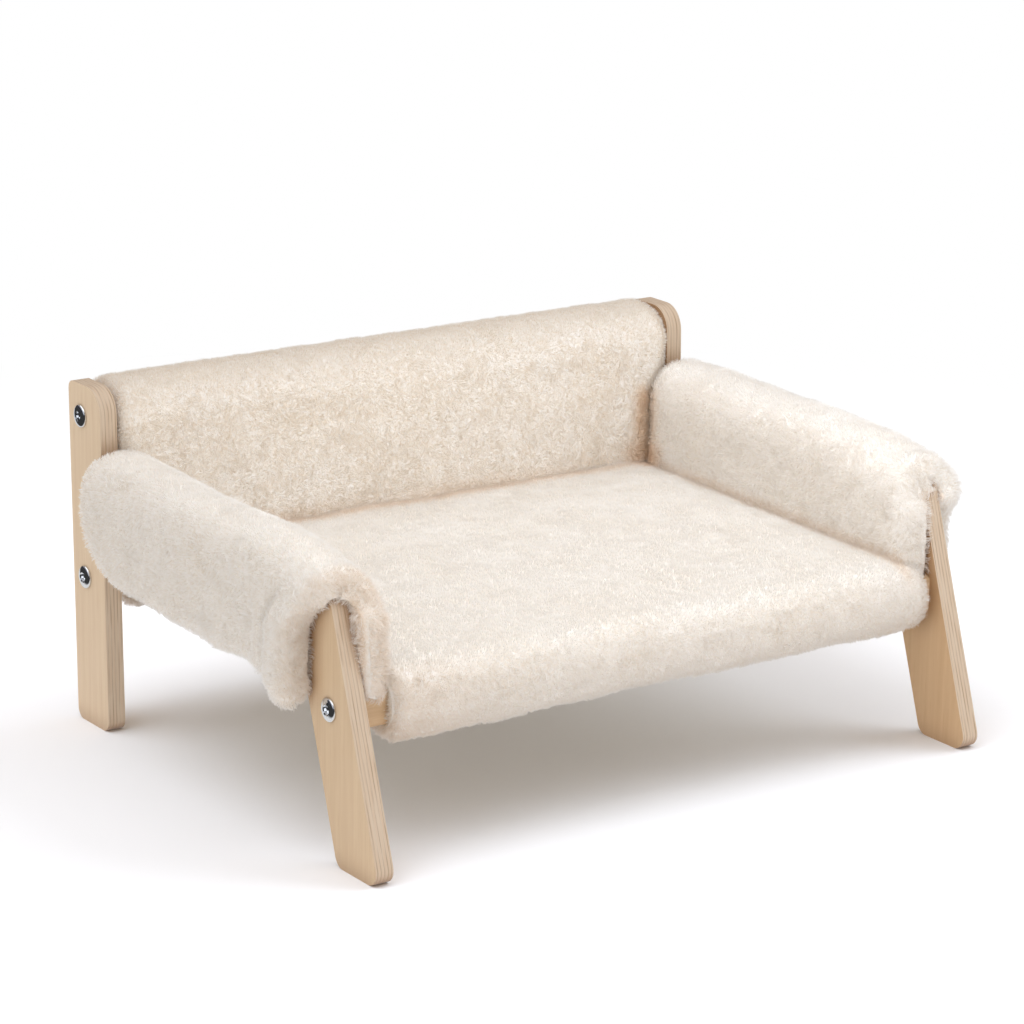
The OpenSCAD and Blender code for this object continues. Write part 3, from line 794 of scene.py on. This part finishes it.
def back():
    """Back cushion: padded front face, roll over the top rail, and a hanging rear."""
    reach = TOP_AXIS[0] - back_low.y - PILE_DEPTH
    radius = back_high.z - TOP_AXIS[1] - PILE_DEPTH
    low = back_low.z - 2.5 * MM
    belly = 2 * MM
    front_y = TOP_AXIS[0] - reach
    rear_y = TOP_AXIS[0] + radius
    front_low = (front_y + 3 * MM, low)
    rear_low = (rear_y - 5 * MM, low)
    angles = np.radians(np.linspace(180, 90, 40, endpoint=False))
    over = np.stack([TOP_AXIS[0] + reach * np.cos(angles), TOP_AXIS[1] + radius * np.sin(angles)], -1)
    profile = np.concatenate([
        line(front_low, (front_y, TOP_AXIS[1]), 60),
        over,
        arc(TOP_AXIS, radius, 90, 0, 40),
        line((rear_y, TOP_AXIS[1]), rear_low, 60),
        line(rear_low, front_low, 30),
    ])
    profile = respace(profile, closed=True)
    core_z = np.clip(profile[:, 1], low + 26 * MM, TOP_AXIS[1])
    core = np.stack([np.full(len(profile), TOP_AXIS[0] - 4 * MM), core_z], -1)
    half = back_high.x + 1 * MM
    rows = body_rows(profile, core, both_ends(half, 14 * MM))
    points = rows.copy()

    # Soft waves of the front face, calmer at both ends
    side = smooth(0, 60 * MM, half - np.abs(points[..., 0]))
    in_front = smooth(0, 14 * MM, TOP_AXIS[0] - 10 * MM - points[..., 1])
    height = np.clip((points[..., 2] - low) / (TOP_AXIS[1] - low), 0, 1)
    waves = 2.2 * noise(points * [1, 1, 1.4], 75 * MM, 2) + 1.4 * noise(points, 38 * MM, 1)
    waves = waves * MM * (0.3 + 0.7 * side)
    points[..., 1] += in_front * (waves + belly * np.sin(np.pi * height))

    # A pucker low down near the right arm
    pucker = bell((points[..., 0] - 205 * MM) / (22 * MM)) * bell((points[..., 2] - low) / (35 * MM))
    points[..., 1] += in_front * 3 * MM * pucker
    weights = np.where(points[..., 2] < low + 0.4 * MM, 0.0, 1.0)
    shag = 0.82 + 0.40 * smooth(14 * MM, 4 * MM, half - np.abs(rows[..., 0]))
    finish_plush("back", points, ["back_cover"], weights, shag, 12)


# Arms

ARM_REAR = arm_high.y
ARM_IN = arm_low.x
ARM_OUT = arm_high.x - 3 * MM
ARM_TOP = arm_high.z
# Length of an arm in its own coordinates, which stretch to the real front and rear edges
ARM_LENGTH = 360 * MM
FRONT_ROUND = 14 * MM
REAR_ROUND = 9 * MM
# Lower edges before they follow their own lines: inside at the seat, and outside at the flap
SEAM = 130 * MM
HEM = 128.5 * MM
# The inner edge ends this far below the seat's surface, but not lower than at the front
TUCKED = 14 * MM
SEAM_FRONT = 127 * MM
# The flap's cuff, its hem and its rounded rear corner
CUFF_FRONT = -153 * MM
CUFF = 38 * MM
CUFF_DROOP = 14 * MM
HEM_RISE = 0.03
HEM_RISE_FROM = -219 * MM
CORNER_LENGTH = 65 * MM
CORNER_TOP = 191 * MM


def level_hem(y):
    """Height of the hem without its cuff and its corner."""
    return HEM + HEM_RISE * (y - HEM_RISE_FROM)


def hem_height(y):
    """Lower edge of a flap: a drooping cuff, nearly level, then round the rear corner."""
    cuff = np.clip((y - CUFF_FRONT) / CUFF, 0, 1)
    behind = np.clip((y - ARM_REAR + CORNER_LENGTH) / CORNER_LENGTH, 0, 1)
    corner_low = level_hem(ARM_REAR - CORNER_LENGTH)
    corner = CORNER_TOP - (CORNER_TOP - corner_low) * np.sqrt(1 - behind ** 2)
    return np.where(behind > 0, corner, level_hem(y) - CUFF_DROOP * np.sin(np.pi * cuff ** 0.8))


def arm_outline(inner_top):
    """Outer and inner points across an arm, from the seat over the ridge to the flap's hem."""
    outer_in = ARM_IN + PILE_DEPTH
    outer_out = ARM_OUT - PILE_DEPTH
    inner_in = PANEL_IN - 2.0 * MM
    inner_out = PANEL_OUT + 2.2 * MM
    shoulder = 33 * MM
    shoulder_z = ARM_TOP - PILE_DEPTH - shoulder
    outer_middle = ((outer_in + outer_out) / 2, shoulder_z)
    outer_path = np.concatenate([
        line((outer_in, SEAM), (outer_in, shoulder_z), 50),
        superellipse(outer_middle, (outer_out - outer_in) / 2, shoulder, 60),
        line((outer_out, shoulder_z), (outer_out, HEM), 50),
    ])
    inner_radius = (inner_out - inner_in) / 2
    inner_middle = ((inner_in + inner_out) / 2, inner_top - inner_radius)
    inner_path = np.concatenate([
        line((inner_in, SEAM), (inner_in, inner_middle[1]), 50),
        arc(inner_middle, inner_radius, 180, 0, 60),
        line((inner_out, inner_middle[1]), (inner_out, HEM), 50),
    ])
    outer = respace(outer_path, closed=False)
    inner = match(outer_path, inner_path, len(outer))
    ends = edge_closing(outer, 8 * MM, 7 * MM)[:, None]
    mid = (outer + inner) / 2
    return mid + (outer - mid) * ends, mid + (inner - mid) * ends


def arm_stations():
    """Distances from the front edge, and the share of the wall's thickness at each, round at both ends."""
    turn = np.linspace(0, math.pi / 2, 11)
    front = FRONT_ROUND * (1 - np.cos(turn))
    rear = (ARM_LENGTH - REAR_ROUND * (1 - np.cos(turn)))[::-1]
    between = np.arange(FRONT_ROUND + PLUSH_STEP, ARM_LENGTH - REAR_ROUND - PLUSH_STEP / 2, PLUSH_STEP)
    shares = np.concatenate([np.sin(turn), np.ones(len(between)), np.sin(turn)[::-1]])
    return np.concatenate([front, between, rear]), np.maximum(shares, 0.03)


def front_edge(level, ridge, inner_front, ridge_front, shoulder_front, flap_front, turn_height):
    """Y of an arm's front edge by the height of its outer points: up the inner side, then down the flap."""
    turn_end = turn_height + 40 * MM
    inner_edge = inner_front + (ridge_front - inner_front) * smooth(188 * MM, 230 * MM, level)
    flap_edge = flap_front + (shoulder_front - flap_front) * smooth(turn_height, turn_end, level)
    flap_edge = flap_edge + (ridge_front - shoulder_front) * smooth(turn_end, ARM_TOP - 10 * MM, level)
    return spread(np.where(np.arange(len(level)) < ridge, inner_edge, flap_edge), 5) + PILE_DEPTH


def arm_swell(points, side, from_front, on_flap):
    """How far the outer surface stands out: a swelling cuff with a crease behind it, folds and lumps."""
    z = points[..., 2]
    low_on_flap = smooth(218 * MM, 190 * MM, z) * on_flap
    edge_roll = 1.5 * MM * bell((from_front - 10 * MM) / (9 * MM))
    in_cuff = np.clip(from_front / CUFF, 0, 1)
    cuff = 3.0 * MM * np.where(from_front < CUFF, np.sin(np.pi * in_cuff) ** 0.7, 0)
    behind_cuff = -5.0 * MM * bell((from_front - CUFF - 1 * MM) / (4.5 * MM))
    # Moved apart, so that the two arms don't get the same lumps
    shifted = points + [0, 0, side * 0.3]
    lumps = (2.0 * noise(shifted, 60 * MM, 2) + 0.9 * noise(shifted, 30 * MM, 1)) * MM
    folds = 3.4 * MM * noise(shifted * [1, 1, 0.2], 17 * MM, 3) * smooth(205 * MM, 165 * MM, z) * on_flap
    folds = folds * (0.25 + 0.75 * smooth(150 * MM, 60 * MM, from_front))
    folds = folds * smooth(CUFF, CUFF + 8 * MM, from_front)
    return edge_roll + (cuff + behind_cuff) * low_on_flap + lumps + folds


def arm(name, side, covers, bulge, inner_top, rise, seed, **edge):
    """Padded saddle over an arm board. side is 1 on the right and -1 on the left.

    bulge says how far the inner rim stands over the leg's tip, inner_top how high the wall's inner side
    reaches, rise how far the ridge is raised at its front and its rear, and edge where the front edge lies.
    """
    outer, inner = arm_outline(inner_top)
    order = np.arange(len(outer))
    level = outer[:, 1]
    ridge = int(np.argmax(level))
    flap_top = ridge + int(np.argmax(level[ridge:] < 172 * MM))
    on_flap = smooth(ridge, flap_top, order)
    front = front_edge(level, ridge, **edge)
    rear = ARM_REAR + 3.5 * MM + 1 * MM * on_flap

    def both(values):
        return np.concatenate([values, values[::-1]])

    # The section goes out along the outer side and back along the inner one, and closes near the panel
    profile = np.concatenate([outer, inner[::-1]])
    core = both(0.14 * outer + 0.86 * inner)
    is_outer = np.concatenate([np.ones(len(outer)), np.zeros(len(inner))])
    front, rear, on_flap = both(front), both(rear), both(on_flap)
    before_ridge = both((order < ridge).astype(float))
    places, shares = arm_stations()
    thick = shares[:, None]
    section = core + (profile - core) * thick[..., None]
    from_front = np.broadcast_to(places[:, None], section.shape[:2])
    y = front + from_front * (rear - front) / ARM_LENGTH

    # The rim of the flap rolls back to the panel
    over_flap = both(smooth(ridge - 6, ridge + 14, order))
    y = y + 3 * MM * over_flap * thick * (1 - is_outer) * smooth(60 * MM, 20 * MM, from_front)

    # The ridge drops towards the front, and both lower edges follow their own lines
    height = section[..., 1]
    above = smooth(150 * MM, ARM_TOP, height)
    raised = rise[0] + (rise[1] - rise[0]) * np.clip((y + 200 * MM) / ARM_LENGTH, 0, 1)
    drop = 18 * MM * np.clip((-105 * MM - y) / (100 * MM), 0, None) ** 1.5
    follows = 0.75 + 0.25 * thick * np.where(is_outer, 1.0, -1.0)
    z = height + above * (raised - drop) * follows
    below = np.clip((200 * MM - height) / (200 * MM - HEM), 0, 1)
    seam_shift = np.maximum(seat_side_height(y) - TUCKED, SEAM_FRONT) - SEAM
    z = z + below * np.where(before_ridge, seam_shift, hem_height(y) - HEM)
    points = np.stack([section[..., 0], y, z], -1)

    # The inner rim bulges over the tip of the leg
    over_tip = before_ridge * bell((height - 208 * MM) / (12 * MM)) * smooth(17 * MM, 6 * MM, from_front)
    points += over_tip[..., None] * np.array([5 * MM, -5 * MM, -4 * MM]) * bulge

    # The outer surface swells, and the rims hug the panel
    swell = arm_swell(points, side, from_front, on_flap)
    points = points + grid_normals(points) * (swell * is_outer)[..., None]
    hugging = smooth(26 * MM, 12 * MM, from_front) * (1 - is_outer) * smooth(200 * MM, 185 * MM, z)
    points[..., 0] += 1.4 * MM * hugging * np.where(before_ridge, 1, -1)

    # Pile covers the outer side and the first stretch inside the front rim
    weights = np.maximum(is_outer, smooth(22 * MM, 14 * MM, from_front))
    shag = 1 + 0.45 * smooth(20 * MM, 6 * MM, from_front)
    points[..., 0] *= side
    if side < 0:
        points, weights, shag = points[:, ::-1], weights[:, ::-1], shag[:, ::-1]
    finish_plush(name, points, covers, weights, shag, seed, strip_ends=True)


# Side panels with eased edges

def eased_panel(node, name):
    """Copy of a CAD panel with merged faces and softly rounded arrises."""
    sharp = math.radians(50)
    mesh = frame["nodes"][node].data.copy()
    repair(mesh, merge=0.02 * MM, flat_angle=math.radians(0.5))
    piece = placed(name, mesh)
    bevel = piece.modifiers.new("eased_edges", "BEVEL")
    bevel.width = 1.6 * MM
    bevel.segments = 3
    bevel.limit_method = "ANGLE"
    bevel.angle_limit = sharp
    mesh.materials.clear()
    mesh.materials.append(MATERIALS["birch_plywood"])
    mesh.shade_smooth()
    mesh.set_sharp_from_angle(angle=sharp)
    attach(piece, "root")
    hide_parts(node)


# Connector bolts

BOLT_FACETS = 48
HEAD_RADIUS = 9.25 * MM
HEAD_RIM = 1.0 * MM
HEAD_DOME = 2.4 * MM
SOCKET_FLATS = 6.2 * MM
SOCKET_MOUTH = 4.1 * MM
SHANK_RADIUS = 3 * MM
SHANK_LENGTH = 55 * MM


def bolt_rings():
    """Angles, and rings of (distance from the panel, radius) from the socket's floor to the shank's end."""
    angles = np.linspace(0, 2 * math.pi, BOLT_FACETS, endpoint=False)
    third = math.pi / 3
    hexagon = SOCKET_FLATS / 2 / np.cos((angles + third / 2) % third - third / 2)
    rings = [(0.4 * MM, hexagon * 0.97), (2.6 * MM, hexagon)]
    for radius in np.linspace(SOCKET_MOUTH, HEAD_RADIUS - 0.1 * MM, 12):
        rings.append((HEAD_RIM + HEAD_DOME * math.sqrt(1 - (radius / HEAD_RADIUS) ** 2), radius))
    rings += [
        (HEAD_RIM - 0.2 * MM, HEAD_RADIUS),
        (0.2 * MM, HEAD_RADIUS),
        (0.0, HEAD_RADIUS - 0.3 * MM),
        (0.0, SHANK_RADIUS),
        (-SHANK_LENGTH + MM, SHANK_RADIUS),
        (-SHANK_LENGTH, SHANK_RADIUS * 0.75),
    ]
    return angles, rings


def bolts():
    """One piece for the six connector bolts, with domed heads and hexagon sockets."""
    angles, rings = bolt_rings()
    vertices = []
    faces = []
    for side in (-1, 1):
        for axis in (FRONT_AXIS, REAR_AXIS, TOP_AXIS):
            index = len(vertices) + np.arange(len(rings) * BOLT_FACETS).reshape(-1, BOLT_FACETS)
            faces += tube(index) + [index[0].tolist(), index[-1].tolist()]
            for depth, radius in rings:
                x = np.full(BOLT_FACETS, side * (PANEL_OUT + depth))
                ring = np.stack([x, axis[0] + radius * np.cos(angles), axis[1] + radius * np.sin(angles)], -1)
                vertices += ring.tolist()
    mesh = bpy.data.meshes.new("bolts")
    mesh.from_pydata(vertices, [], faces)
    repair(mesh)
    mesh.shade_smooth()
    mesh.set_sharp_from_angle(angle=math.radians(38))
    mesh.materials.append(MATERIALS["chrome"])
    piece = placed("bolts", mesh)
    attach(piece, "root")
    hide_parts("connector_bolts")


# Stage

def floor():
    """Large pale floor that passes into a white backdrop away from the object."""
    size = 30
    corners = [(-size, -size, 0), (size, -size, 0), (size, size, 0), (-size, size, 0)]
    mesh = bpy.data.meshes.new("floor")
    mesh.from_pydata(corners, [], [(0, 1, 2, 3)])
    material, tree, shader = new_material("studio_floor")
    set_inputs(shader, Base_Color=(0.92, 0.92, 0.92), Roughness=0.8, Specular_IOR_Level=0.2)
    where = tree.nodes.new("ShaderNodeTexCoord")
    away = add(tree, "ShaderNodeVectorMath", Vector=where.outputs["Object"])
    away.operation = "LENGTH"
    far = add(tree, "ShaderNodeMapRange", Value=away.outputs["Value"], From_Min=0.42, From_Max=1.3)
    far.interpolation_type = "SMOOTHSTEP"
    backdrop = add(tree, "ShaderNodeEmission", Strength=1.0)
    lit = mixed_shader(tree, far.outputs["Result"], shader.outputs["BSDF"], backdrop.outputs["Emission"])

    # Shiny pieces see a floor that is dark beside the object
    beside = math_node(tree, "ABSOLUTE", split(tree, where.outputs["Object"])["X"])
    zones = ramp(tree, beside, [(0.405, 0.80), (0.455, 0.04)])
    mirrored = add(tree, "ShaderNodeEmission", Color=zones, Strength=1.0)
    ray = tree.nodes.new("ShaderNodeLightPath")
    whole = mixed_shader(tree, ray.outputs["Is Glossy Ray"], lit, mirrored.outputs["Emission"])
    set_inputs(tree.nodes["Material Output"], Surface=whole)
    mesh.materials.append(material)
    plane = placed("floor", mesh)


# Light

COOL_FAR = (0.92, 0.99, 1.10)
COOL_NEAR = (0.92, 0.99, 1.09)
WARM_FILL = (1.0, 0.87, 0.76)
FILL_STRENGTH = 0.49


def background(tree, colour, strength):
    """A Background shader, whose colour is a socket or a colour."""
    return add(tree, "ShaderNodeBackground", Color=colour, Strength=strength).outputs["Background"]


def surround():
    """White room with an even warm fill, where shiny pieces see a studio's dark and light zones."""
    world = bpy.data.worlds.new("studio")
    world.use_nodes = True
    tree = world.node_tree
    tree.nodes.clear()
    where = tree.nodes.new("ShaderNodeTexCoord")
    zones = ramp(tree, split(tree, where.outputs["Generated"])["Z"], [
        (0.0, (0.05, 0.05, 0.06)), (0.30, (0.03, 0.03, 0.035)), (0.36, (0.5, 0.5, 0.52)),
        (0.55, (0.10, 0.10, 0.11)), (0.80, 0.9),
    ])
    ray = tree.nodes.new("ShaderNodeLightPath")
    fill = background(tree, WARM_FILL, FILL_STRENGTH)
    seen = mixed_shader(tree, ray.outputs["Is Camera Ray"], fill, background(tree, (1, 1, 1), 1.0))
    whole = mixed_shader(tree, ray.outputs["Is Glossy Ray"], seen, background(tree, zones, 1.0))
    add(tree, "ShaderNodeOutputWorld", Surface=whole)
    bpy.context.scene.world = world
    bpy.context.scene.view_settings.view_transform = "Standard"


def receivers(name, accepts):
    """Collection of the objects whose names are accepted."""
    group = bpy.data.collections.new(name)
    for item in bpy.context.scene.objects:
        if item.type in ("MESH", "CURVES") and accepts(item.name):
            group.objects.link(item)
    return group


def aimed(data, strength, colour, direction, shines_on, place=(0, 0, 3)):
    """Places a light that shines along a direction, on all objects or on those of a collection."""
    data.energy = strength
    data.color = colour
    light = placed(data.name, data)
    back_axis = -unit(np.array(direction, float))
    right_axis = unit(np.cross([0.0, 1.0, 0.01], back_axis))
    up_axis = np.cross(back_axis, right_axis)
    turn = Matrix(np.stack([right_axis, up_axis, back_axis], axis=1).tolist()).to_4x4()
    light.matrix_world = Matrix.Translation(place) @ turn
    if shines_on is not None:
        light.light_linking.receiver_collection = shines_on


def far_light(name, direction, width, strength, shines_on=None):
    """A broad light from far away, whose width in degrees makes its shadows soft."""
    data = bpy.data.lights.new(name, "SUN")
    data.angle = math.radians(width)
    aimed(data, strength, COOL_FAR, direction, shines_on)


def softbox(name, place, target, size, power, shines_on):
    """A round softbox near the object, aimed at a place."""
    data = bpy.data.lights.new(name, "AREA")
    data.shape = "DISK"
    data.size = size
    aimed(data, power, COOL_NEAR, np.array(target) - np.array(place), shines_on, place)


def lights():
    """Cool light from overhead over a warm fill, softboxes for the object, and side light on the floor."""
    pieces = receivers("lit_pieces", lambda name: name != "floor")
    not_back = receivers("lit_below", lambda name: name.startswith(("seat", "left_arm", "right_arm")))
    only_back = receivers("lit_behind", lambda name: name.startswith("back"))
    only_right = receivers("lit_beside", lambda name: name.startswith("right_arm"))
    ground = receivers("lit_floor", lambda name: name == "floor")
    back_middle = (0, 0.17, 0.2)
    far_light("overhead", (0.10, -0.05, -1.0), 75, 0.87)
    far_light("floor_right", (-0.9, 0.25, -0.8), 45, 1.45, ground)
    far_light("floor_left", (0.5, -0.15, -1.0), 50, 1.15, ground)
    far_light("left_light", (1.0, 0.3, -0.7), 55, 0.27, pieces)
    softbox("seat_softbox", (0, -0.2, 0.80), (0, -0.05, 0.1), 0.6, 2.4, not_back)
    softbox("front_softbox", (0.25, -0.65, 0.85), back_middle, 0.8, 2.0, pieces)
    softbox("back_softbox", (0.1, -0.8, 0.3), back_middle, 0.8, 3.8, only_back)
    softbox("arm_softbox", (-0.25, -0.3, 0.4), (0.25, -0.05, 0.2), 0.5, 0.45, only_right)
    surround()


# Camera

def camera():
    """The photograph's view: from the left front, a little above."""
    yaw = math.radians(34.4)
    pitch = math.radians(16.1)
    roll = math.radians(0.7)
    distance = 3.0838
    # Focal length as a share of the picture's width
    focal_share = 3.7884
    sensor = 36
    target = np.array([0, 0.0123, 0.1786])
    forward = np.array([math.sin(yaw) * math.cos(pitch), math.cos(yaw) * math.cos(pitch), -math.sin(pitch)])
    level = np.array([math.cos(yaw), -math.sin(yaw), 0])
    upward = np.cross(level, forward)
    right_axis = level * math.cos(roll) + upward * math.sin(roll)
    up_axis = -level * math.sin(roll) + upward * math.cos(roll)
    data = bpy.data.cameras.new("camera")
    data.sensor_width = sensor
    data.lens = sensor * focal_share
    data.clip_end = 100
    view = placed("camera", data)
    turn = Matrix(np.stack([right_axis, up_axis, -forward], axis=1).tolist()).to_4x4()
    view.matrix_world = Matrix.Translation((target - forward * distance).tolist()) @ turn
    bpy.context.scene.camera = view


# The scene

dress_frame()
eased_panel("left_side_panel", "left_panel")
eased_panel("right_side_panel", "right_panel")
seat()
back()
arm(
    "left_arm", -1, ["left_arm_cover"], 0.5, 209 * MM, (-4 * MM, -1 * MM), 13,
    inner_front=-194 * MM, ridge_front=-178 * MM, shoulder_front=-175 * MM, flap_front=-150 * MM,
    turn_height=174 * MM,
)
arm(
    "right_arm", 1, ["right_arm_cover"], 1.0, 205 * MM, (-2 * MM, 4 * MM), 14,
    inner_front=-186 * MM, ridge_front=-172 * MM, shoulder_front=-182 * MM, flap_front=-164 * MM,
    turn_height=168 * MM,
)
bolts()
floor()
lights()
camera()
